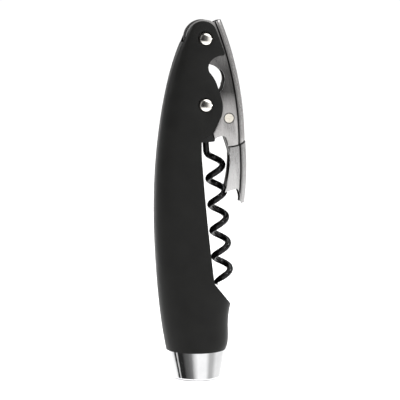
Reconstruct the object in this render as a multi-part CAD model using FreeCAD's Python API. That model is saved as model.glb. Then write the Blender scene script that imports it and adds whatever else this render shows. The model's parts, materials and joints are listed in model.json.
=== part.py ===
"""Lever corkscrew (double-hinged waiter's type) as separate solids, one STEP file per node.

Frame: millimetres, +Z up, origin at the centre of the end cap's flat foot. The handle stands
upright, the levers and the worm are folded against its +X side, and Y is across the handle.
"""
import FreeCAD, Part
import math
import os
from FreeCAD import Vector

# ---- pivots, in the side view (X, Z) ----
LEVER_PIVOT = (2.0, 121.9)
WORM_PIVOT = (2.0, 98.6)
LINK_PIVOT = (10.8, 93.7)

# ---- stack across the handle, as distances from the middle plane ----
CHANNEL_HALF = 4.05                 # inside of the lever channels
LEVER_WALL = 1.0
LEVER_HALF = CHANNEL_HALF + LEVER_WALL
RUN_GAP = 0.05                      # side play each side of a washer
WASHER_THICK = 0.25
LINER_IN = LEVER_HALF + 2 * RUN_GAP + WASHER_THICK
LINER_THICK = 0.6
LINER_OUT = LINER_IN + LINER_THICK

# ---- handle ----
# Sections of the handle: height, spine edge, front edge, half thickness, squareness of the section.
# Above the shoulder the front edge lies beyond the body, which the side outline trims.
SECTIONS = (
    (10.3, -11.27, 10.33, 10.80, 2.0),
    (18.5, -12.75, 11.10, 10.35, 2.15),
    (27.0, -13.80, 12.05, 9.85, 2.4),
    (40.0, -14.85, 17.00, 9.30, 3.0),
    (57.0, -15.50, 21.00, 8.80, 3.6),
    (75.0, -15.00, 21.00, 8.40, 4.0),
    (90.0, -13.50, 21.00, 8.10, 4.0),
    (103.5, -11.15, 21.00, 7.80, 4.0),
    (114.0, -8.30, 21.00, 7.55, 4.8),
    (121.0, -5.50, 21.00, 7.40, 7.0),
    (130.0, -1.20, 21.00, 7.30, 9.0),
)
SECTION_POINTS = 24
NEAR_ZERO = 0.01
GRIP_BOTTOM = SECTIONS[0][0]
SHOULDER_CORNER = (12.05, 26.5)
SHOULDER_LINE = (18.0, 19.2)        # on the shoulder's slope, beyond the body
# Side outline from the shoulder up to the head, on the worm's side: points joined by lines, and
# (via, end) pairs for arcs.
FRONT_SIDE = (
    (6.0, 33.9),
    ((5.45, 34.6), (5.1, 35.7)),
    ((3.0, 54.0), (0.7, 80.5)),
    (0.7, 85.0),
    ((1.0, 86.0), (1.9, 86.7)),
    (4.2, 88.1),
    ((4.8, 88.6), (5.2, 89.4)),
    (7.75, 94.6),
    ((8.2, 98.2), (7.6, 101.2)),
    (6.1, 106.0),
    ((4.9, 108.3), (3.5, 110.1)),
    ((3.2, 112.3), (4.4, 114.4)),
    ((6.0, 115.5), (8.1, 115.9)),
    ((8.75, 116.2), (8.85, 117.0)),
)
HEAD_LEFT = (-3.45, 124.6)
HEAD_TOP = (1.35, 128.0)
HEAD_RIGHT = (5.6, 125.6)
BEYOND_SPINE = -25.0                # a side-view X clear of the handle on the spine's side
BEYOND_Z = 95.0
BEYOND = 40.0                       # a distance clear of everything, for cutting tools
WEB_TOP = 83.6                      # the handle is closed on the worm's side below this
SLOT_BOTTOM = 120.5                 # the head is slotted for the lever above this
CHANNEL_LEFT = -3.6
KNUCKLE_CLEAR = 0.25
RIM = 1.4                           # handle wall in the side view
LINER_INSET_SPINE = 2.8
LINER_INSET_FRONT = 2.0
SPACER_INSET = 1.2
SPACER_WIDTH = 5.0
SPACER_Z = (28.0, 108.0)
PINS = ((-0.5, 20.5), (-10.2, 46.0), (-7.4, 94.0))
PIN_R = 1.0
PIN_HALF = 6.5

# ---- end cap ----
CAP_TOP_R = 10.8
CAP_TOP_X = -0.47
CAP_FOOT_R = 8.72
CAP_EDGE_R = 0.8
CAP_WALL = 1.5
CAP_FLOOR = 2.2
CAP_FLOOR_R = 7.62                  # inside radius at the floor
CAP_OVERRUN = 0.1                   # how far the hollow's tool runs past the rim
TANG_X = (-5.5, 4.6)
TANG_Z = (2.6, 26.0)
STUD_R = 2.0
STUD_Z = (1.2, 14.0)

# ---- rivets and washers ----
RIVET_R = 1.9
RIVET_HEAD_R = 2.45
RIVET_DOME = 0.9
RIVET_SEAT_R = 2.75
LEVER_SEAT_Y = 6.75                 # where the lever rivet's heads sit on the handle
WORM_SEAT_Y = 7.4
RIVET_FIT = 0.05
RIVET_COLLAR = 0.2                  # length of shank on the far head
WASHER_R = 3.6
SLEEVE_R = 2.9
LINK_R = 1.6
LINK_WASHER_R = 2.9

# ---- levers ----
KNUCKLE_R = 6.55
LEVER_TOP = 128.5
BEYOND_BACK = 18.5
BACK_CORNER_R = 2.6
SWEEP_DEPTH = 24.0                  # deeper than any lever is wide in the side view
SWEEP_ANGLE = 30.0                  # each way from the middle of the back's circle
UPPER_BACK = ((8.2, 128.1), (14.0, 109.5), (16.75, 85.5))
LOWER_BACK = ((16.95, 85.4), (17.4, 77.5), (16.6, 63.6))
LOWER_FOOT = 63.9
# Side outlines of the levers, in order, in the same form as FRONT_SIDE.
UPPER_KNUCKLE_ANGLES = (58, 150, 245)
UPPER_CORNER_X = 7.75
UPPER_FRONT = (
    ((10.35, 85.2), (9.85, 86.7)),
    (9.0, 87.4),
    ((7.3, 87.15), (5.8, 86.4)),
    (5.3, 88.3),
    (7.3, 92.4),
    (7.3, 102.6),
    ((8.5, 104.0), (8.95, 105.6)),
    ((9.1, 108.9), (7.3, 111.4)),
    ((5.6, 112.25), (3.7, 112.8)),
)
LOWER_FRONT = (
    (15.1, 63.3),
    ((14.9, 66.4), (13.8, 68.6)),
    ((11.6, 68.0), (9.4, 67.2)),
    ((10.7, 73.0), (11.25, 79.0)),
)
TONGUE_BLADE = ((7.25, 93.0), (11.6, 80.0), (16.6, 78.5), (16.45, 89.0), (13.2, 96.35))
TONGUE_INSIDE = ((0.0, 15.2), (70.0, 110.0))
JOINT_R = 10.15                     # the joint line is an arc round the link pivot
JOINT_VIA_X = 13.8
UPPER_JOINT_X = 10.6                # where each lever's outline leaves the joint line
LOWER_JOINT_X = 11.15
JOINT_GAP = 0.2
TONGUE_HALF = 2.9
TONGUE_WALL = 1.0
TONGUE_SLOT_HALF = 3.1
TONGUE_SLOT_X = (12.0, 20.0)
TONGUE_SLOT_Z = (82.0, 98.8)
TONGUE_KNUCKLE_R = 3.6

# ---- worm ----
WORM_TILT = 4.3                     # degrees, the worm leans away from the handle at the bottom
WIRE_R = 1.15
COIL_R = 2.68
COIL_PITCH = 9.42
COIL_TURNS = 5.0
BEND_START = 14.6                   # below the pivot, along the worm, where the shank bends
BEND_LENGTH = 5.0
SHANK_TOP = 6.0
POINT_LENGTH = 7.0
POINT_R = 0.12                      # what is left of the wire's radius at the very tip
WIRE_STEP = 0.7
HUB_HALF = 3.85
HUB_WIDTH = 6.0
HUB_LENGTH = 13.6
HUB_TOP_R = 3.3
HUB_CHAMFER = 0.4
HUB_PIN_R = 0.6
HUB_PIN_HALF = 3.6
HUB_PIN_DEPTH = 10.2


# ---------------------------------------------------------------- helpers

def at(point, y=0.0):
    return Vector(point[0], y, point[1])


def side_edges(steps):
    """Edges in the side view. A step is a point (a line to it) or (via, end) for an arc."""
    edges = []
    here = steps[0]
    for step in steps[1:]:
        if isinstance(step[0], tuple):
            via, end = step
            edges.append(Part.Arc(at(here), at(via), at(end)).toShape())
        else:
            end = step
            edges.append(Part.makeLine(at(here), at(end)))
        here = end
    return edges


def side_face(steps):
    """A face inside a side-view outline, closed by a line if the last step doesn't close it."""
    last = steps[-1][1] if isinstance(steps[-1][0], tuple) else steps[-1]
    closed = steps if last == steps[0] else steps + [steps[0]]
    return Part.Face(Part.Wire(Part.sortEdges(side_edges(closed))[0]))


def slab(face, low, high):
    """A side-view face thickened from Y = low to Y = high."""
    moved = face.copy()
    moved.translate(Vector(0, low, 0))
    return moved.extrude(Vector(0, high - low, 0))


def box(x, y, z):
    return Part.makeBox(x[1] - x[0], y[1] - y[0], z[1] - z[0], Vector(x[0], y[0], z[0]))


def cross_pin(point, radius, low, high):
    """A round bar along Y through a side-view point."""
    return Part.makeCylinder(radius, high - low, at(point, low), Vector(0, 1, 0))


def mirrored(shape):
    return shape.mirror(Vector(0, 0, 0), Vector(0, 1, 0))


def join(shapes):
    result = shapes[0]
    for shape in shapes[1:]:
        result = result.fuse(shape)
    return result.removeSplitter()


def save(node, shape):
    shape.exportStep("parts/" + node + ".step")


# ---------------------------------------------------------------- handle

def trim_face():
    """What the handle keeps in the side view; it is open beyond the spine and the foot."""
    steps = [(SHOULDER_LINE[0], GRIP_BOTTOM), SHOULDER_LINE, *FRONT_SIDE, HEAD_RIGHT,
             (HEAD_TOP, HEAD_LEFT), (BEYOND_SPINE, BEYOND_Z), (BEYOND_SPINE, GRIP_BOTTOM)]
    return side_face(steps)


def handle_face():
    """The handle's whole side outline, with the spine as three arcs."""
    foot, low, belly, high, shoulder, neck, top = [(SECTIONS[i][1], SECTIONS[i][0])
                                                   for i in (0, 2, 4, 5, 7, 8, 9)]
    steps = [(SECTIONS[0][2], GRIP_BOTTOM), SHOULDER_CORNER, *FRONT_SIDE, HEAD_RIGHT,
             (HEAD_TOP, HEAD_LEFT), top, (neck, shoulder), (high, belly), (low, foot)]
    return side_face(steps)


def section_wire(height, left, right, half, squareness):
    middle = (left + right) / 2
    reach = (right - left) / 2
    points = []
    for step in range(SECTION_POINTS):
        turn = 2 * math.pi * step / SECTION_POINTS
        c, s = math.cos(turn), math.sin(turn)
        x = middle + reach * math.copysign(abs(c) ** (2 / squareness), c)
        y = half * math.copysign(abs(s) ** (2 / squareness), s)
        points.append(Vector(x, y, height))
    curve = Part.BSplineCurve()
    curve.interpolate(points, PeriodicFlag=True)
    return Part.Wire(curve.toShape())


def handle_body():
    loft = Part.makeLoft([section_wire(*s) for s in SECTIONS], True, False)
    return loft.common(slab(trim_face(), -BEYOND, BEYOND))


def frame_faces():
    """Side-view faces of the liners and of the spacer bar along the spine."""
    inner = handle_face().makeOffset2D(-RIM)

    def moved(dx):
        copy = inner.copy()
        copy.translate(Vector(dx, 0, 0))
        return copy

    liner = inner.common(moved(LINER_INSET_SPINE)).common(moved(-LINER_INSET_FRONT))
    spacer = moved(SPACER_INSET).cut(moved(SPACER_INSET + SPACER_WIDTH))
    window = side_face([(BEYOND_SPINE, SPACER_Z[0]), (0.0, SPACER_Z[0]),
                        (0.0, SPACER_Z[1]), (BEYOND_SPINE, SPACER_Z[1])])
    return liner, spacer.common(window)


def largest(shape):
    return max(shape.Solids, key=lambda solid: solid.Volume)


def liner_plate(face):
    plate = largest(slab(face, -LINER_OUT, -LINER_IN))
    for pivot in (LEVER_PIVOT, WORM_PIVOT):
        plate = plate.cut(cross_pin(pivot, RIVET_R, -BEYOND, 0))
    for pin in PINS:
        plate = plate.cut(cross_pin(pin, PIN_R, -BEYOND, 0))
    return plate


def channel_space():
    """The open space between the halves for the lever, the worm's hub and the knuckle."""
    right = box((CHANNEL_LEFT, BEYOND), (-LINER_IN, LINER_IN), (WEB_TOP, WEB_TOP + 2 * BEYOND))
    head = box((-BEYOND, BEYOND), (-LINER_IN, LINER_IN), (SLOT_BOTTOM, SLOT_BOTTOM + BEYOND))
    knuckle = cross_pin(LEVER_PIVOT, KNUCKLE_R + KNUCKLE_CLEAR, -LINER_IN, LINER_IN)
    return join([right, head, knuckle])


def grip_half(body, liner_face, spacer, tang, near):
    side = (-BEYOND, 0) if near else (0, BEYOND)
    half = body.common(box((-BEYOND, BEYOND), side, (0, LEVER_TOP)))
    half = half.cut(channel_space())
    half = half.cut(slab(liner_face, -LINER_OUT, LINER_OUT))
    half = half.cut(spacer).cut(tang)
    for pin in PINS:
        half = half.cut(cross_pin(pin, PIN_R, -PIN_HALF, PIN_HALF))
    for pivot, seat in ((LEVER_PIVOT, LEVER_SEAT_Y), (WORM_PIVOT, WORM_SEAT_Y)):
        half = half.cut(cross_pin(pivot, RIVET_R, -BEYOND, BEYOND))
        half = half.cut(cross_pin(pivot, RIVET_SEAT_R, seat, BEYOND))
        half = half.cut(cross_pin(pivot, RIVET_SEAT_R, -BEYOND, -seat))
    return largest(half)


def cap_stud():
    return Part.makeCylinder(STUD_R, STUD_Z[1] - STUD_Z[0], Vector(CAP_TOP_X, 0, STUD_Z[0]))


def end_cap():
    top = Part.Wire(Part.makeCircle(CAP_TOP_R, Vector(CAP_TOP_X, 0, GRIP_BOTTOM)))
    foot = Part.Wire(Part.makeCircle(CAP_FOOT_R, Vector(0, 0, 0)))
    cap = Part.makeLoft([foot, top], True, True)
    cap = cap.makeFillet(CAP_EDGE_R, [edge for edge in cap.Edges if edge.BoundBox.ZMax < NEAR_ZERO])
    rim_z = GRIP_BOTTOM + CAP_OVERRUN
    in_top = Part.Wire(Part.makeCircle(CAP_TOP_R - CAP_WALL, Vector(CAP_TOP_X, 0, rim_z)))
    in_low = Part.Wire(Part.makeCircle(CAP_FLOOR_R, Vector(0, 0, CAP_FLOOR)))
    cap = cap.cut(Part.makeLoft([in_low, in_top], True, True))
    return cap.cut(cap_stud())


def frame_tang():
    tang = box(TANG_X, (-LINER_IN, LINER_IN), TANG_Z)
    return tang.cut(cap_stud()).cut(cross_pin(PINS[0], PIN_R, -BEYOND, BEYOND))


# ---------------------------------------------------------------- rivets and washers

def dome(point, seat):
    """A domed rivet head on the -Y side, standing on the seat plane Y = -seat."""
    flat = Part.makeCylinder(RIVET_HEAD_R, RIVET_DOME, at(point, -seat), Vector(0, -1, 0))
    ball_r = (RIVET_HEAD_R ** 2 + RIVET_DOME ** 2) / (2 * RIVET_DOME)
    ball = Part.makeSphere(ball_r, at(point, -seat - RIVET_DOME + ball_r))
    return flat.common(ball)


def rivet(pivot, seat):
    return join([dome(pivot, seat), cross_pin(pivot, RIVET_R, -seat, seat - RIVET_COLLAR)])


def rivet_cap(pivot, seat):
    head = mirrored(dome(pivot, seat))
    collar = cross_pin(pivot, RIVET_R, seat - RIVET_COLLAR, seat)
    return join([head, collar])


def ring(pivot, outer, inner, low, high):
    return cross_pin(pivot, outer, low, high).cut(cross_pin(pivot, inner, low, high))


def washer_pair(pivot, outer, inner, low, high):
    one = ring(pivot, outer, inner, low, high)
    return Part.makeCompound([mirrored(one), one])


# ---------------------------------------------------------------- levers

def circle_of(three):
    """Centre and radius, in the side view, of the circle through three points."""
    circle = Part.Arc(*[at(p) for p in three]).toShape().Curve
    return (circle.Center.x, circle.Center.z), circle.Radius


def back_sweep(three, half, corner, inset):
    """A deep bar whose back follows an arc, with both long back edges rounded.

    The back is the circle through three side-view points, moved in by the inset.
    """
    centre, reach = circle_of(three)
    outer = centre[0] + reach - inset
    inner = outer - SWEEP_DEPTH
    bend = outer - corner
    lift = corner * math.sin(math.pi / 4)

    def p(x, y):
        return Vector(x, y, centre[1])

    edges = [
        Part.makeLine(p(inner, -half), p(bend, -half)),
        Part.Arc(p(bend, -half), p(bend + lift, -half + corner - lift), p(outer, -half + corner)).toShape(),
        Part.makeLine(p(outer, -half + corner), p(outer, half - corner)),
        Part.Arc(p(outer, half - corner), p(bend + lift, half - corner + lift), p(bend, half)).toShape(),
        Part.makeLine(p(bend, half), p(inner, half)),
        Part.makeLine(p(inner, half), p(inner, -half)),
    ]
    face = Part.Face(Part.Wire(edges))
    pole = at(centre)
    face.rotate(pole, Vector(0, 1, 0), SWEEP_ANGLE)
    return face.revolve(pole, Vector(0, -1, 0), 2 * SWEEP_ANGLE)


def channel(outline, three):
    """A U-shaped lever: side walls cut to the outline, joined by the rounded back.

    The outline runs past the back, which the sweep alone shapes.
    """
    lever = slab(side_face(outline), -BEYOND, BEYOND)
    lever = lever.common(back_sweep(three, LEVER_HALF, BACK_CORNER_R, 0.0))
    inside = back_sweep(three, CHANNEL_HALF, BACK_CORNER_R - LEVER_WALL, LEVER_WALL)
    return lever.cut(inside)


def on_joint(x, radius):
    dz = math.sqrt(radius ** 2 - (x - LINK_PIVOT[0]) ** 2)
    return (x, LINK_PIVOT[1] - dz)


def polar(pivot, radius, degrees):
    turn = math.radians(degrees)
    return (pivot[0] + radius * math.cos(turn), pivot[1] + radius * math.sin(turn))


def upper_lever():
    end_r = JOINT_R - JOINT_GAP / 2
    knuckle = [polar(LEVER_PIVOT, KNUCKLE_R, angle) for angle in UPPER_KNUCKLE_ANGLES]
    outline = [
        (BEYOND_BACK, LEVER_TOP),
        on_joint(BEYOND_BACK, end_r),
        (on_joint(JOINT_VIA_X, end_r), on_joint(UPPER_JOINT_X, end_r)),
        *UPPER_FRONT,
        knuckle[2],
        (knuckle[1], knuckle[0]),
        (UPPER_CORNER_X, LEVER_TOP),
    ]
    lever = channel(outline, UPPER_BACK)
    slot = box(TONGUE_SLOT_X, (-TONGUE_SLOT_HALF, TONGUE_SLOT_HALF), TONGUE_SLOT_Z)
    lever = lever.cut(slot)
    lever = lever.cut(cross_pin(LEVER_PIVOT, RIVET_R + RIVET_FIT, -BEYOND, BEYOND))
    return lever.cut(cross_pin(LINK_PIVOT, LINK_R, -BEYOND, BEYOND))


def tongue():
    """The narrow part of the lower lever that reaches up to the link rivet."""
    knuckle = cross_pin(LINK_PIVOT, TONGUE_KNUCKLE_R, -TONGUE_HALF, TONGUE_HALF)
    outside = join([knuckle, slab(side_face(list(TONGUE_BLADE)), -TONGUE_HALF, TONGUE_HALF)])
    inside_half = TONGUE_HALF - TONGUE_WALL
    inside = box(TONGUE_INSIDE[0], (-inside_half, inside_half), TONGUE_INSIDE[1])
    return outside.cut(inside).cut(cross_pin(LINK_PIVOT, LINK_R + RIVET_FIT, -BEYOND, BEYOND))


def lower_lever():
    top_r = JOINT_R + JOINT_GAP / 2
    top_right = on_joint(BEYOND_BACK, top_r)
    outline = [
        top_right,
        (BEYOND_BACK, LOWER_FOOT),
        *LOWER_FRONT,
        on_joint(LOWER_JOINT_X, top_r),
        (on_joint(JOINT_VIA_X, top_r), top_right),
    ]
    return join([channel(outline, LOWER_BACK), tongue()])


# ---------------------------------------------------------------- worm

def lean(shape):
    """From the worm's own frame (pivot at the origin, pointing down -Z) to its place."""
    shape.rotate(Vector(0, 0, 0), Vector(0, -1, 0), WORM_TILT)
    shape.translate(at(WORM_PIVOT))
    return shape


def worm_path():
    """Points along the wire, from the start of the bend under the shank to the tip of the coil."""
    helix_angle = math.atan2(2 * math.pi * COIL_R, COIL_PITCH)
    turn_length = COIL_PITCH / math.cos(helix_angle)
    total = BEND_LENGTH + COIL_TURNS * turn_length
    count = int(total / WIRE_STEP)
    length = total / count
    turn = 0.0
    points = [Vector(0, 0, -BEND_START)]
    for index in range(count):
        slope = helix_angle * min(1.0, (index + 0.5) * length / BEND_LENGTH)
        turn += math.sin(slope) * length / COIL_R
        z = points[-1].z - math.cos(slope) * length
        points.append(Vector(COIL_R * (1 - math.cos(turn)), COIL_R * math.sin(turn), z))
    return points


def wire_ring(curve, point, radius):
    """A circle across the wire at one of the points its curve runs through."""
    return Part.Wire(Part.makeCircle(radius, point, curve.tangent(curve.parameter(point))[0]))


def worm_point(curve, points):
    """The tapered end of the wire through the given points."""
    steps = len(points) - 1
    rings = []
    for index, point in enumerate(points):
        rings.append(wire_ring(curve, point, max(WIRE_R * math.sqrt(1 - index / steps), POINT_R)))
    return Part.makeLoft(rings, True, False)


def worm():
    points = worm_path()
    curve = Part.BSplineCurve()
    curve.interpolate(points)
    full = points[:-int(POINT_LENGTH / WIRE_STEP)]
    path = Part.Wire(curve.toShape(curve.parameter(full[0]), curve.parameter(full[-1])))
    sweep = Part.BRepOffsetAPI.MakePipeShell(path)
    sweep.setFrenetMode(True)
    sweep.add(wire_ring(curve, full[0], WIRE_R))
    sweep.build()
    sweep.makeSolid()
    point = worm_point(curve, points[len(full) - 1:])
    shank = Part.makeCylinder(WIRE_R, BEND_START - SHANK_TOP, Vector(0, 0, -BEND_START))
    whole = shank.fuse([sweep.shape(), point]).cut(hub_pin_bar())
    return lean(largest(whole))


def hub_pin_bar():
    """The hub's cross pin in the worm's own frame."""
    start = Vector(0, -HUB_PIN_HALF, -HUB_PIN_DEPTH)
    return Part.makeCylinder(HUB_PIN_R, 2 * HUB_PIN_HALF, start, Vector(0, 1, 0))


def worm_hub():
    knuckle = Part.makeCylinder(HUB_TOP_R, 2 * HUB_HALF, Vector(0, -HUB_HALF, 0), Vector(0, 1, 0))
    half = HUB_WIDTH / 2
    block = box((-half, half), (-HUB_HALF, HUB_HALF), (-HUB_LENGTH, 0))
    low = [edge for edge in block.Edges if edge.BoundBox.ZMax < NEAR_ZERO - HUB_LENGTH]
    hub = join([knuckle, block.makeChamfer(HUB_CHAMFER, low)])
    hub = hub.cut(cross_pin((0.0, 0.0), RIVET_R + RIVET_FIT, -HUB_HALF, HUB_HALF))
    hub = hub.cut(Part.makeCylinder(WIRE_R, HUB_LENGTH, Vector(0, 0, -SHANK_TOP - HUB_LENGTH)))
    return lean(hub.cut(hub_pin_bar()))


def hub_pin():
    return lean(hub_pin_bar())


# ---------------------------------------------------------------- all parts

def handle_parts():
    liner_face, spacer_face = frame_faces()
    spacer = largest(slab(spacer_face, -LINER_IN, LINER_IN))
    spacer = spacer.cut(channel_space())
    tang = frame_tang()
    tang_space = box(TANG_X, (-LINER_IN, LINER_IN), TANG_Z)
    body = handle_body()
    near_liner = liner_plate(liner_face)
    parts = {
        "grip_near": grip_half(body, liner_face, spacer, tang_space, True),
        "grip_far": grip_half(body, liner_face, spacer, tang_space, False),
        "liner_near": near_liner,
        "liner_far": mirrored(near_liner),
        "frame_tang": tang,
        "end_cap": end_cap(),
        "cap_stud": cap_stud(),
    }
    for pin in PINS[1:]:
        spacer = spacer.cut(cross_pin(pin, PIN_R, -BEYOND, BEYOND))
    parts["back_spacer"] = largest(spacer)
    parts["frame_pins"] = Part.makeCompound([cross_pin(p, PIN_R, -PIN_HALF, PIN_HALF) for p in PINS])
    return parts


def pivot_parts():
    worm_washer_low = HUB_HALF + RUN_GAP
    high = LINER_IN - RUN_GAP
    return {
        "lever_rivet": rivet(LEVER_PIVOT, LEVER_SEAT_Y),
        "lever_rivet_cap": rivet_cap(LEVER_PIVOT, LEVER_SEAT_Y),
        "worm_rivet": rivet(WORM_PIVOT, WORM_SEAT_Y),
        "worm_rivet_cap": rivet_cap(WORM_PIVOT, WORM_SEAT_Y),
        "lever_sleeve": ring(LEVER_PIVOT, SLEEVE_R, RIVET_R,
                             RUN_GAP - CHANNEL_HALF, CHANNEL_HALF - RUN_GAP),
        "lever_washers": washer_pair(LEVER_PIVOT, WASHER_R, RIVET_R, LEVER_HALF + RUN_GAP, high),
        "worm_washers": washer_pair(WORM_PIVOT, WASHER_R, RIVET_R, worm_washer_low, high),
        "link_washers": washer_pair(LINK_PIVOT, LINK_WASHER_R, LINK_R,
                                    TONGUE_HALF + RUN_GAP, CHANNEL_HALF - RUN_GAP),
        "link_rivet": cross_pin(LINK_PIVOT, LINK_R, -LEVER_HALF, LEVER_HALF),
    }


def moving_parts():
    return {
        "upper_lever": upper_lever(),
        "lower_lever": lower_lever(),
        "worm": worm(),
        "worm_hub": worm_hub(),
        "hub_pin": hub_pin(),
    }


if __name__ == "__main__":
    os.makedirs("parts", exist_ok=True)
    for build in (handle_parts, pivot_parts, moving_parts):
        for node, shape in build().items():
            print(node, shape.isValid(), len(shape.Solids), round(shape.Volume, 1))
            save(node, shape)
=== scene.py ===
"""Looks for the folding lever corkscrew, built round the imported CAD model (metres, +Z up)."""
import json
import math

import bmesh
import bpy
from mathutils import Matrix, Vector


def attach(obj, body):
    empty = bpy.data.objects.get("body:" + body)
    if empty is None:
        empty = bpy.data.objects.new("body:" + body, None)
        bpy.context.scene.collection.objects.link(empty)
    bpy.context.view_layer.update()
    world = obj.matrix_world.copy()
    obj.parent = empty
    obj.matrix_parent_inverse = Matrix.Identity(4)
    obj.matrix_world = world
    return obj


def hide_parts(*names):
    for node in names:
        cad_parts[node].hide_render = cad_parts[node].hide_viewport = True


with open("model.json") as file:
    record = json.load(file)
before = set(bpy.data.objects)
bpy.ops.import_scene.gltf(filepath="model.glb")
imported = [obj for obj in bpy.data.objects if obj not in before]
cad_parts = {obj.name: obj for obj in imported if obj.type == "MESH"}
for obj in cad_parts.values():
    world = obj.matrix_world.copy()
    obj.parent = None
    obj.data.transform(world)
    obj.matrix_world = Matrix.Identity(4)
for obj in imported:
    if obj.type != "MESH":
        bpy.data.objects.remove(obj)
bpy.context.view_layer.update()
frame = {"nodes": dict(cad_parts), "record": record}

MM = 0.001

# ---- camera: a long lens a little left of square on, just above the tool's top ----
CAMERA_AT = (-0.0759, -0.6657, 0.1417)
CAMERA_AIM = (0.0010, 0.0, 0.0641)
LENS = 169.65

# ---- levers: side-view points (mm) on the rounded backs, and the width of the rounding ----
UPPER_BACK = ((8.2, 128.1), (14.0, 109.5), (16.75, 85.5))
LOWER_BACK = ((16.95, 85.4), (17.4, 77.5), (16.6, 63.6))
BACK_ROUND = 2.6
CHANNEL_HALF = 4.05
FACE_SLACK = 0.02                   # takes in the inner faces that lie just on the channel's half width
INNER_DEPTH = 0.9                   # inner faces start this far in from the back
LINK_PIVOT = (10.8, 93.7)
LINK_R = 1.6
JOINT_R = 10.15
JOINT_TOP = 90.0                    # the joint line lies below this height

# ---- painted reflections and painted shade on the levers ----
# Walls: (height in mm, grey) rows of painted reflection. The rest are (share, grey) rows. The back's
# painted reflection strip and the painted shade along the crease count in from the back, over 2 *
# BACK_ROUND. The painted shade of the joint line counts out from the link's centre and that of the rivet's
# ring from the rivet's edge, both over 2 * JOINT_R.
UPPER_WALL_REFLECTION = (
    (84.0, 0.37), (92.0, 0.32), (98.0, 0.26), (100.5, 0.17), (103.0, 0.06), (110.0, 0.06),
    (115.0, 0.13), (122.0, 0.10), (128.5, 0.30),
)
LOWER_WALL_REFLECTION = ((63.0, 0.44), (70.0, 0.42), (78.0, 0.40), (84.0, 0.36), (97.5, 0.28))
# painted reflection across the rounded back, and its share over the wall's painted reflection
BACK_REFLECTION = ((0.0, 0.36), (0.25, 0.34), (0.38, 0.15), (0.45, 0.04), (0.52, 1.0))
BACK_REFLECTION_SHARE = ((0.40, 1.0), (0.50, 0.0))
# painted shade along the crease where the wall turns into the rounded back
CREASE_SHADE = ((0.38, 1.0), (0.43, 0.02), (0.49, 0.02), (0.55, 1.0))
# painted shade: a dark ring round the link rivet and a dark line where the two levers meet
RIVET_RING_SHADE = ((0.0, 0.10), (0.013, 0.25), (0.022, 1.0))
JOINT_LINE_SHADE = ((0.484, 1.0), (0.489, 0.03), (0.511, 0.03), (0.516, 1.0))
# painted shade on the faces inside the lever's channel
INNER_SHADE = (0.075, 0.073, 0.072, 1)
WHITE = (1.0, 1.0, 1.0, 1.0)

# ---- polish: vectors added to the shading normal, which turn it about 24 and 28 degrees ----
CHROME_LIFT = (0, 0, 0.42)
RIVET_LIFT = (-0.45, 0, 0.28)
POLISH_BUMP = 0.15

# ---- grain of the brushed and the plain steels, as a stretch along the axes ----
BRUSHED = (1, 1, 0.06)
PLAIN = (1, 1, 1)

# ---- pieces made from CAD nodes ----
WELD = 0.002                        # mm: vertices nearer than this are one
FLAT_ANGLE = 0.5                    # degrees: faces flatter than this are merged
HARD_EDGE = 35.0                    # degrees: sharper edges are broken, and shaded sharp
BEVEL_SEGMENTS = 3
EDGE_WIDTHS = {                     # mm
    "grip_near": 0.40,
    "grip_far": 0.40,
    "upper_lever": 0.16,
    "lower_lever": 0.16,
    "worm_hub": 0.30,
}

# ---- worm (mm), in its own frame: the pivot at the origin, pointing down ----
WORM_PIVOT = (2.0, 98.6)
WORM_TILT = 4.3
WIRE_R = 1.146
COIL_R = 2.68
COIL_PITCH = 9.42
COIL_TURNS = 5.0
SHANK_TOP = 6.05
BEND_START = 14.6
BEND_LENGTH = 5.0
POINT_LENGTH = 7.0
POINT_R = 0.12
WIRE_STEP = 0.22
WIRE_SIDES = 24

# ---- studio walls: brightness by azimuth (degrees, 0 behind the camera, positive to the right) ----
WALLS = (
    (-180, 0.70), (-158, 0.70), (-152, 0.06), (-134, 0.05), (-126, 0.85), (-104, 0.82), (-97, 0.02),
    (-91, 0.02), (-86, 0.75), (-81, 0.02), (-62, 0.02), (-50, 0.09), (-37, 0.13), (-25, 0.22),
    (-12, 0.70), (0, 0.97), (34, 0.95), (50, 0.46), (64, 0.48), (80, 0.80), (125, 0.88), (136, 0.20),
    (150, 0.12), (160, 0.60), (180, 0.70),
)
WALLS_FROM = 0.02                   # sine of the elevation where the walls begin
WALLS_FULL = 0.05
WALLS_TO = 0.80                     # the walls fade into the ceiling from here
CEILING_FROM = 0.88
CEILING = 2.8
WORLD_STRENGTH = 1.04

# ---- lamps: azimuth as the walls', height and distance (m), width and height (m), power (W) ----
LAMPS = {
    "small_key": (24, 0.50, 0.75, (0.05, 0.05), 1.6),
    "left_softbox": (-105, 0.58, 0.55, (0.2, 0.3), 3.6),
    "right_softbox": (80, 0.58, 0.55, (0.2, 0.3), 2.2),
}
LAMP_AIM = (0, 0, 0.065)
FLOOR_HALF = 3.0
FLOOR_DROP = 0.0001                 # keeps the floor clear of the cap's foot


# ---------------------------------------------------------------- node helpers

def new_material(name):
    material = bpy.data.materials.new(name)
    material.use_nodes = True
    tree = material.node_tree
    tree.nodes.clear()
    out = tree.nodes.new("ShaderNodeOutputMaterial")
    shader = tree.nodes.new("ShaderNodeBsdfPrincipled")
    tree.links.new(shader.outputs[0], out.inputs[0])
    return material, tree, shader


def node(tree, kind, **values):
    made = tree.nodes.new(kind)
    for key, value in values.items():
        if key in made.inputs:
            made.inputs[key].default_value = value
        else:
            setattr(made, key, value)
    return made


def coordinates(tree, stretch=PLAIN):
    """Object coordinates, stretched along the axes."""
    place = node(tree, "ShaderNodeTexCoord")
    mapping = node(tree, "ShaderNodeMapping")
    mapping.inputs["Scale"].default_value = stretch
    tree.links.new(place.outputs["Object"], mapping.inputs["Vector"])
    return mapping.outputs[0]


def noise(tree, vector, size_mm, detail=3.0, rough=0.55):
    made = node(tree, "ShaderNodeTexNoise", Scale=1.0 / (size_mm * MM), Detail=detail, Roughness=rough)
    tree.links.new(vector, made.inputs["Vector"])
    return made.outputs["Fac"]


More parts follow.
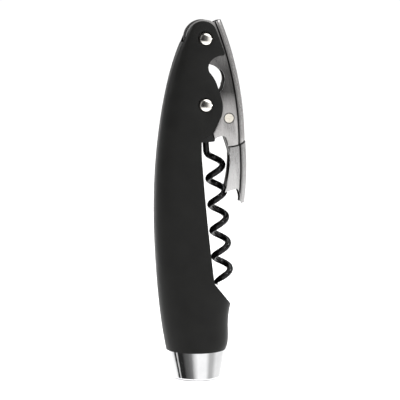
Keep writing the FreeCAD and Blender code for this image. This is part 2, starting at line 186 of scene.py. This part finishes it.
def ramp(tree, value, low, high, start=0.3, end=0.7):
    """Maps a 0..1 value onto colours or greys between two stops."""
    made = node(tree, "ShaderNodeValToRGB")
    first, last = made.color_ramp.elements
    first.position, last.position = start, end
    first.color, last.color = low, high
    tree.links.new(value, made.inputs["Fac"])
    return made.outputs["Color"]


def grey(v):
    return (v, v, v, 1.0)


def math_node(tree, operation, first, second=None):
    made = node(tree, "ShaderNodeMath", operation=operation)
    for index, value in enumerate((first, second)):
        if value is None:
            continue
        if isinstance(value, (int, float)):
            made.inputs[index].default_value = value
        else:
            tree.links.new(value, made.inputs[index])
    return made.outputs[0]


def stops(tree, value, rows):
    """A grey ramp through (position, grey) rows."""
    made = node(tree, "ShaderNodeValToRGB")
    elements = made.color_ramp.elements
    while len(elements) < len(rows):
        elements.new(0.5)
    for element, (position, level) in zip(elements, rows):
        element.position = position
        element.color = grey(level)
    tree.links.new(value, made.inputs["Fac"])
    return made.outputs["Color"]


def mix(tree, share, first, second, blend="MIX"):
    made = node(tree, "ShaderNodeMix", data_type="RGBA", blend_type=blend)
    for name, value in (("Factor", share), ("A", first), ("B", second)):
        socket = next(i for i in made.inputs if i.name == name and i.enabled)
        if isinstance(value, (int, float, tuple)):
            socket.default_value = value
        else:
            tree.links.new(value, socket)
    return next(o for o in made.outputs if o.enabled)


def multiply(tree, first, second):
    return mix(tree, 1.0, first, second, "MULTIPLY")


def below(tree, value, limit):
    return math_node(tree, "LESS_THAN", value, limit)


def side_distance(tree, x, z, centre):
    """Distance in the side view from a point given in mm."""
    across = math_node(tree, "POWER", math_node(tree, "SUBTRACT", x, centre[0] * MM), 2.0)
    along = math_node(tree, "POWER", math_node(tree, "SUBTRACT", z, centre[1] * MM), 2.0)
    return math_node(tree, "SQRT", math_node(tree, "ADD", across, along))


def circle_through(points):
    """Centre and radius (mm) of the circle through three side-view points."""
    (ax, az), (bx, bz), (cx, cz) = points
    d = 2 * (ax * (bz - cz) + bx * (cz - az) + cx * (az - bz))
    a, b, c = (x * x + z * z for x, z in points)
    x = (a * (bz - cz) + b * (cz - az) + c * (az - bz)) / d
    z = (a * (cx - bx) + b * (ax - cx) + c * (bx - ax)) / d
    return (x, z), math.hypot(ax - x, az - z)


def bump(tree, shader, value, height_mm, strength=1.0):
    made = node(tree, "ShaderNodeBump", Strength=strength, Distance=height_mm * MM)
    tree.links.new(value, made.inputs["Height"])
    tree.links.new(made.outputs[0], shader.inputs["Normal"])


def lifted_normal(tree, shader, value, height_mm, lift):
    """Fine bump plus a constant vector, which turns the shading normal and not the surface.

    Polish then picks up the walls and not the floor.
    """
    fine = node(tree, "ShaderNodeBump", Strength=POLISH_BUMP, Distance=height_mm * MM)
    tree.links.new(value, fine.inputs["Height"])
    raised = node(tree, "ShaderNodeVectorMath", operation="ADD")
    tree.links.new(fine.outputs[0], raised.inputs[0])
    raised.inputs[1].default_value = lift
    tree.links.new(raised.outputs[0], shader.inputs["Normal"])


# ---------------------------------------------------------------- materials

def soft_touch():
    """Matte rubbery black coat: fine orange-peel grain, faint handling marks."""
    material, tree, shader = new_material("soft_touch_black")
    where = coordinates(tree)
    broad = noise(tree, where, 9.0, 2.0)
    fine = noise(tree, where, 0.28, 2.0)
    colour = ramp(tree, broad, (0.0052, 0.0052, 0.0049, 1), (0.0080, 0.0080, 0.0075, 1))
    tree.links.new(colour, shader.inputs["Base Color"])
    tree.links.new(ramp(tree, broad, grey(0.40), grey(0.50)), shader.inputs["Roughness"])
    shader.inputs["Specular IOR Level"].default_value = 0.13
    bump(tree, shader, fine, 0.010, 0.3)
    return material


def polished_chrome():
    """Mirror plate with faint polishing haze, its shading normal lifted by CHROME_LIFT."""
    material, tree, shader = new_material("polished_chrome")
    where = coordinates(tree)
    haze = noise(tree, where, 5.0, 3.0)
    colour = ramp(tree, haze, (0.90, 0.90, 0.91, 1), (0.97, 0.97, 0.975, 1))
    tree.links.new(colour, shader.inputs["Base Color"])
    shader.inputs["Metallic"].default_value = 1.0
    tree.links.new(ramp(tree, haze, grey(0.035), grey(0.06)), shader.inputs["Roughness"])
    scratches = noise(tree, coordinates(tree, (1, 1, 14)), 0.5, 4.0, 0.7)
    lifted_normal(tree, shader, scratches, 0.0006, CHROME_LIFT)
    return material


def satin_steel(name, dark, light, rough, grain=BRUSHED):
    """Satin metal, brushed along its length or with an even grain."""
    material, tree, shader = new_material(name)
    lines = noise(tree, coordinates(tree, grain), 0.16, 3.0, 0.6)
    patches = noise(tree, coordinates(tree), 6.0, 2.0)
    tree.links.new(ramp(tree, patches, dark, light), shader.inputs["Base Color"])
    shader.inputs["Metallic"].default_value = 1.0
    tree.links.new(ramp(tree, lines, grey(rough - 0.06), grey(rough + 0.07)), shader.inputs["Roughness"])
    bump(tree, shader, lines, 0.004, 0.25)
    return material


def wall_shade(tree, z, levels):
    """The painted reflection down a lever's wall, as grey levels by height."""
    low, high = levels[0][0], levels[-1][0]
    height = math_node(tree, "DIVIDE", math_node(tree, "SUBTRACT", z, low * MM), (high - low) * MM)
    return stops(tree, height, [((h - low) / (high - low), v) for h, v in levels])


def link_shade_lines(tree, x, z):
    """Painted shade: a dark ring round the link rivet, and a dark line on the arc along which the two
    levers meet.
    """
    from_link = math_node(tree, "DIVIDE", side_distance(tree, x, z, LINK_PIVOT), 2 * JOINT_R * MM)
    rim = LINK_R / (2 * JOINT_R)
    ring = stops(tree, from_link, [(rim + out, v) for out, v in RIVET_RING_SHADE])
    arc = stops(tree, from_link, JOINT_LINE_SHADE)
    return multiply(tree, ring, mix(tree, below(tree, z, JOINT_TOP * MM), WHITE, arc))


def inner_shade_mask(tree, y, inward):
    """1 on the faces inside the lever's channel, where the painted shade goes, 0 on the rest."""
    between = below(tree, math_node(tree, "ABSOLUTE", y), (CHANNEL_HALF + FACE_SLACK) * MM)
    return multiply(tree, between, below(tree, INNER_DEPTH * MM, inward))


def lever_plate(name, back, levels, tint):
    """Satin plate of a lever, with painted reflections and painted shade over the brushed metal.

    Its light and dark zones are painted: the reflection levels down the wall, the reflection strip on the
    rounded back with the painted shade of the crease beside it, the painted shade round the link, and the
    painted shade on the faces inside.
    """
    material, tree, shader = new_material(name)
    where = node(tree, "ShaderNodeTexCoord").outputs["Object"]
    parts = node(tree, "ShaderNodeSeparateXYZ")
    tree.links.new(where, parts.inputs[0])
    x, y, z = parts.outputs
    centre, reach = circle_through(back)
    inward = math_node(tree, "SUBTRACT", reach * MM, side_distance(tree, x, z, centre))
    depth = math_node(tree, "DIVIDE", inward, 2 * BACK_ROUND * MM)
    # painted reflection: the back's strip laid over the wall's levels
    strip = stops(tree, depth, BACK_REFLECTION)
    base = mix(tree, stops(tree, depth, BACK_REFLECTION_SHARE), wall_shade(tree, z, levels), strip)
    lines = noise(tree, coordinates(tree, BRUSHED), 0.16, 3.0, 0.6)
    patches = noise(tree, where, 5.0, 2.0)
    brushed = multiply(tree, base, ramp(tree, lines, grey(0.90), grey(1.05)))
    worn = multiply(tree, brushed, ramp(tree, patches, grey(0.94), grey(1.04)))
    crease_shaded = multiply(tree, multiply(tree, worn, tint), stops(tree, depth, CREASE_SHADE))
    link_shaded = multiply(tree, crease_shaded, link_shade_lines(tree, x, z))
    # painted shade on the faces inside the channel
    colour = mix(tree, inner_shade_mask(tree, y, inward), link_shaded, INNER_SHADE)
    tree.links.new(colour, shader.inputs["Base Color"])
    shader.inputs["Metallic"].default_value = 1.0
    tree.links.new(ramp(tree, lines, grey(0.20), grey(0.34)), shader.inputs["Roughness"])
    bump(tree, shader, lines, 0.003, 0.2)
    return material


def polished_rivet():
    """Spun and polished rivet head, slightly warm, its shading normal turned by RIVET_LIFT."""
    material, tree, shader = new_material("rivet_steel")
    patches = noise(tree, coordinates(tree), 1.2, 3.0)
    lifted_normal(tree, shader, noise(tree, coordinates(tree), 0.25, 2.0), 0.002, RIVET_LIFT)
    colour = ramp(tree, patches, (0.80, 0.77, 0.72, 1), (0.90, 0.87, 0.82, 1))
    tree.links.new(colour, shader.inputs["Base Color"])
    shader.inputs["Metallic"].default_value = 1.0
    tree.links.new(ramp(tree, patches, grey(0.13), grey(0.22)), shader.inputs["Roughness"])
    return material


def peened_face():
    """Cut and hammered end of the link rivet: warm grey and grainy."""
    material, tree, shader = new_material("peened_rivet_face")
    grain = noise(tree, coordinates(tree), 0.35, 4.0, 0.7)
    colour = ramp(tree, grain, (0.50, 0.46, 0.40, 1), (0.72, 0.69, 0.62, 1))
    tree.links.new(colour, shader.inputs["Base Color"])
    shader.inputs["Metallic"].default_value = 1.0
    tree.links.new(ramp(tree, grain, grey(0.3), grey(0.5)), shader.inputs["Roughness"])
    bump(tree, shader, grain, 0.03, 0.6)
    return material


def coated_black():
    """Slippery black coat over the worm and its hub, glossy with a thin haze."""
    material, tree, shader = new_material("glossy_black_coat")
    where = coordinates(tree)
    haze = noise(tree, where, 2.5, 3.0)
    colour = ramp(tree, haze, (0.002, 0.002, 0.002, 1), (0.004, 0.004, 0.004, 1))
    tree.links.new(colour, shader.inputs["Base Color"])
    tree.links.new(ramp(tree, haze, grey(0.10), grey(0.18)), shader.inputs["Roughness"])
    shader.inputs["Specular IOR Level"].default_value = 0.14
    shader.inputs["Coat Weight"].default_value = 0.08
    shader.inputs["Coat Roughness"].default_value = 0.05
    bump(tree, shader, noise(tree, where, 0.5, 2.0), 0.006, 0.3)
    return material


def pale_floor():
    material, tree, shader = new_material("pale_floor")
    speck = noise(tree, coordinates(tree), 12.0, 2.0)
    tree.links.new(ramp(tree, speck, grey(0.93), grey(0.95)), shader.inputs["Base Color"])
    shader.inputs["Roughness"].default_value = 0.7
    return material


MATERIALS = {
    "soft_black": soft_touch(),
    "chrome": polished_chrome(),
    "steel": satin_steel("liner_steel", (0.50, 0.50, 0.51, 1), (0.60, 0.60, 0.61, 1), 0.32),
    "spacer_alloy": satin_steel(
        "spacer_alloy", (0.42, 0.42, 0.43, 1), (0.52, 0.52, 0.53, 1), 0.42, PLAIN),
    "rivet_steel": polished_rivet(),
    "washer_steel": satin_steel(
        "washer_steel", (0.45, 0.45, 0.46, 1), (0.55, 0.55, 0.56, 1), 0.35, PLAIN),
    "lever_steel": lever_plate("upper_lever_steel", UPPER_BACK, UPPER_WALL_REFLECTION, (1.0, 0.975, 0.965, 1)),
    "link_brass": peened_face(),
    "black_coat": coated_black(),
}

# the lower lever shares the upper one's slot, with its own back curve and painted reflection levels
LOWER_LEVER_STEEL = lever_plate("lower_lever_steel", LOWER_BACK, LOWER_WALL_REFLECTION, (1.0, 0.985, 0.98, 1))


# ---------------------------------------------------------------- pieces from CAD nodes

def clean_copy(name):
    """A new object with the node's surface, welded and with flat areas merged."""
    source = frame["nodes"][name]
    mesh = source.data.copy()
    mesh.materials.clear()
    work = bmesh.new()
    work.from_mesh(mesh)
    bmesh.ops.remove_doubles(work, verts=work.verts, dist=WELD * MM)
    bmesh.ops.dissolve_limit(work, angle_limit=math.radians(FLAT_ANGLE), verts=work.verts,
                             edges=work.edges, delimit=set())
    work.to_mesh(mesh)
    work.free()
    piece = bpy.data.objects.new(name + "_surface", mesh)
    bpy.context.scene.collection.objects.link(piece)
    return piece


def apply_modifiers(piece):
    bpy.context.view_layer.update()
    graph = bpy.context.evaluated_depsgraph_get()
    mesh = bpy.data.meshes.new_from_object(piece.evaluated_get(graph))
    piece.modifiers.clear()
    piece.data = mesh


def smooth(piece):
    piece.data.shade_smooth()
    piece.data.set_sharp_from_angle(angle=math.radians(HARD_EDGE))


def edge_worked(name, width_mm):
    """The node's shape with every hard edge broken, as tumbling and polishing leave it."""
    piece = clean_copy(name)
    bevel = piece.modifiers.new("broken_edges", "BEVEL")
    bevel.width = width_mm * MM
    bevel.segments = BEVEL_SEGMENTS
    bevel.limit_method = "ANGLE"
    bevel.angle_limit = math.radians(HARD_EDGE)
    bevel.harden_normals = False
    bevel.use_clamp_overlap = True
    apply_modifiers(piece)
    smooth(piece)
    return piece


def stand_for(piece, name):
    """Finish, body and slot of a piece that replaces a CAD node."""
    slot = next(row["material_slot"] for row in frame["record"]["subparts"] if row["node"] == name)
    piece.data.materials.clear()
    piece.data.materials.append(LOWER_LEVER_STEEL if name == "lower_lever" else MATERIALS[slot])
    body = next(b for b, names in frame["record"]["behaviour"]["bodies"].items() if name in names)
    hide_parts(name)
    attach(piece, body)


def worm_path():
    """Points down the wire: the shank, the bend, then the coil."""
    helix = math.atan2(2 * math.pi * COIL_R, COIL_PITCH)
    total = BEND_LENGTH + COIL_TURNS * COIL_PITCH / math.cos(helix)
    count = int(total / WIRE_STEP)
    length = total / count
    points = [Vector((0, 0, -SHANK_TOP)), Vector((0, 0, -BEND_START))]
    turn = 0.0
    for index in range(count):
        slope = helix * min(1.0, (index + 0.5) * length / BEND_LENGTH)
        turn += math.sin(slope) * length / COIL_R
        z = points[-1].z - math.cos(slope) * length
        points.append(Vector((COIL_R * (1 - math.cos(turn)), COIL_R * math.sin(turn), z)))
    return points, length


def worm_mesh():
    """The wire as one closed tube, drawn down to the point."""
    points, length = worm_path()
    verts, faces = [], []
    side = Vector((1, 0, 0))
    for index, point in enumerate(points):
        along = points[min(index + 1, len(points) - 1)] - points[max(index - 1, 0)]
        along.normalize()
        side = (side - along * side.dot(along)).normalized()
        other = along.cross(side)
        left = min(1.0, (len(points) - 1 - index) * length / POINT_LENGTH)
        radius = max(WIRE_R * math.sqrt(left), POINT_R)
        for k in range(WIRE_SIDES):
            angle = 2 * math.pi * k / WIRE_SIDES
            verts.append(point + side * (radius * math.cos(angle)) + other * (radius * math.sin(angle)))
    for ring in range(len(points) - 1):
        for k in range(WIRE_SIDES):
            a, b = ring * WIRE_SIDES + k, ring * WIRE_SIDES + (k + 1) % WIRE_SIDES
            faces.append((a, b, b + WIRE_SIDES, a + WIRE_SIDES))
    faces.append(tuple(reversed(range(WIRE_SIDES))))
    faces.append(tuple(range(len(verts) - WIRE_SIDES, len(verts))))
    place = (Matrix.Translation((WORM_PIVOT[0] * MM, 0, WORM_PIVOT[1] * MM))
             @ Matrix.Rotation(math.radians(WORM_TILT), 4, (0, -1, 0)) @ Matrix.Scale(MM, 4))
    mesh = bpy.data.meshes.new("worm_wire")
    mesh.from_pydata([place @ v for v in verts], [], faces)
    work = bmesh.new()
    work.from_mesh(mesh)
    bmesh.ops.recalc_face_normals(work, faces=work.faces)
    work.to_mesh(mesh)
    work.free()
    return mesh


def build_pieces():
    for name, width in EDGE_WIDTHS.items():
        stand_for(edge_worked(name, width), name)
    wire = bpy.data.objects.new("worm_wire", worm_mesh())
    bpy.context.scene.collection.objects.link(wire)
    smooth(wire)
    stand_for(wire, "worm")


def finish_carried_nodes():
    """Materials for the CAD nodes that stay as they are."""
    for row in frame["record"]["subparts"]:
        carried = frame["nodes"][row["node"]]
        carried.data.materials.clear()
        carried.data.materials.append(MATERIALS[row["material_slot"]])


# ---------------------------------------------------------------- studio

def aim(obj, target):
    """Turns a lamp or camera to look at a point."""
    obj.rotation_euler = (Vector(target) - obj.location).to_track_quat("-Z", "Y").to_euler()


def make_camera():
    data = bpy.data.cameras.new("photo_view")
    camera = bpy.data.objects.new("photo_view", data)
    bpy.context.scene.collection.objects.link(camera)
    camera.location = CAMERA_AT
    aim(camera, CAMERA_AIM)
    data.sensor_width = 36.0
    data.lens = LENS
    data.clip_start = 0.01
    bpy.context.scene.camera = camera


def area_light(name, azimuth, height, distance, size, power):
    data = bpy.data.lights.new(name, "AREA")
    data.shape = "RECTANGLE"
    data.size, data.size_y = size
    data.energy = power
    lamp = bpy.data.objects.new(name, data)
    bpy.context.scene.collection.objects.link(lamp)
    turn = math.radians(azimuth)
    lamp.location = (distance * math.sin(turn), -distance * math.cos(turn), height)
    aim(lamp, LAMP_AIM)


def make_studio():
    mesh = bpy.data.meshes.new("floor")
    corners = [(x * FLOOR_HALF, y * FLOOR_HALF, 0) for x, y in ((-1, -1), (1, -1), (1, 1), (-1, 1))]
    mesh.from_pydata(corners, [], [(0, 1, 2, 3)])
    floor = bpy.data.objects.new("floor", mesh)
    floor.location.z = -FLOOR_DROP
    bpy.context.scene.collection.objects.link(floor)
    floor.data.materials.append(pale_floor())
    bpy.context.scene.world = studio_world()
    bpy.context.scene.view_settings.view_transform = "Standard"
    for name, setting in LAMPS.items():
        area_light(name, *setting)


def studio_world():
    """White sweep up to the walls' foot, light and dark panels round the walls, bright ceiling."""
    world = bpy.data.worlds.new("studio")
    world.use_nodes = True
    tree = world.node_tree
    background = tree.nodes["Background"]
    parts = node(tree, "ShaderNodeSeparateXYZ")
    tree.links.new(node(tree, "ShaderNodeTexCoord").outputs["Generated"], parts.inputs[0])
    x, y, z = parts.outputs
    azimuth = math_node(tree, "ARCTAN2", x, math_node(tree, "MULTIPLY", y, -1.0))
    turn = math_node(tree, "ADD", math_node(tree, "DIVIDE", azimuth, 2 * math.pi), 0.5)
    walls = stops(tree, turn, [((a + 180) / 360, v) for a, v in WALLS])
    rise = stops(tree, z, [(WALLS_FROM, 0.0), (WALLS_FULL, 1.0), (WALLS_TO, 1.0), (CEILING_FROM, 0.0)])
    lit = mix(tree, rise, WHITE, walls)
    ceiling = stops(tree, z, [(WALLS_TO, 0.0), (CEILING_FROM, 1.0)])
    tree.links.new(mix(tree, ceiling, lit, grey(CEILING)), background.inputs["Color"])
    background.inputs["Strength"].default_value = WORLD_STRENGTH
    return world


finish_carried_nodes()
build_pieces()
make_camera()
make_studio()
